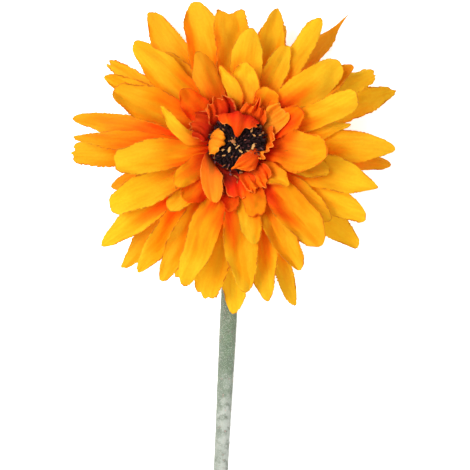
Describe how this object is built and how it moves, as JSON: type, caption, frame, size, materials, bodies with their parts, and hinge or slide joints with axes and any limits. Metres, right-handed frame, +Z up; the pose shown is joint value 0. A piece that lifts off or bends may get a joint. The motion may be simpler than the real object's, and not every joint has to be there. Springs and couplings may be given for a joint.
{
  "type": "artificial gerbera daisy",
  "caption": "Cut stem of an artificial gerbera, lying face up: layers of orange cloth petals round a dark flocked centre, on a bent plastic stem with a steel core.",
  "frame": {"origin": "on the surface that the flower lies on, under the middle of its bounding box", "axes": "+Z straight up from the surface, with the face of the bloom looking along it; the bloom is towards +Y and the cut end of the stem towards -Y; +X is to the right as seen from above with the bloom at the top"},
  "size_m": [0.1146, 0.25, 0.046],
  "materials": {
    "cloth_back": "matt woven cloth, deep orange",
    "cloth_2": "matt woven cloth, orange",
    "cloth_3": "matt woven cloth, orange",
    "cloth_front": "matt woven cloth, golden orange",
    "cloth_inner": "matt woven cloth, orange turning red at the root",
    "cloth_frill": "matt woven cloth, orange red",
    "centre_flock": "dark brown fibre, matt",
    "calyx_plastic": "moulded, dull",
    "stem_flock": "grey green with a pale powdery coat",
    "wire_steel": "plain drawn wire"
  },
  "bodies": {
    "root": {"petals_1_back": "cloth_back", "petals_2": "cloth_2", "petals_3": "cloth_3", "petals_4_front": "cloth_front", "petals_5_inner": "cloth_inner", "petals_6_frill": "cloth_frill", "disc_florets": "centre_flock", "calyx": "calyx_plastic", "stem_sleeve": "stem_flock", "stem_wire": "wire_steel"}
  },
  "joints": []
}
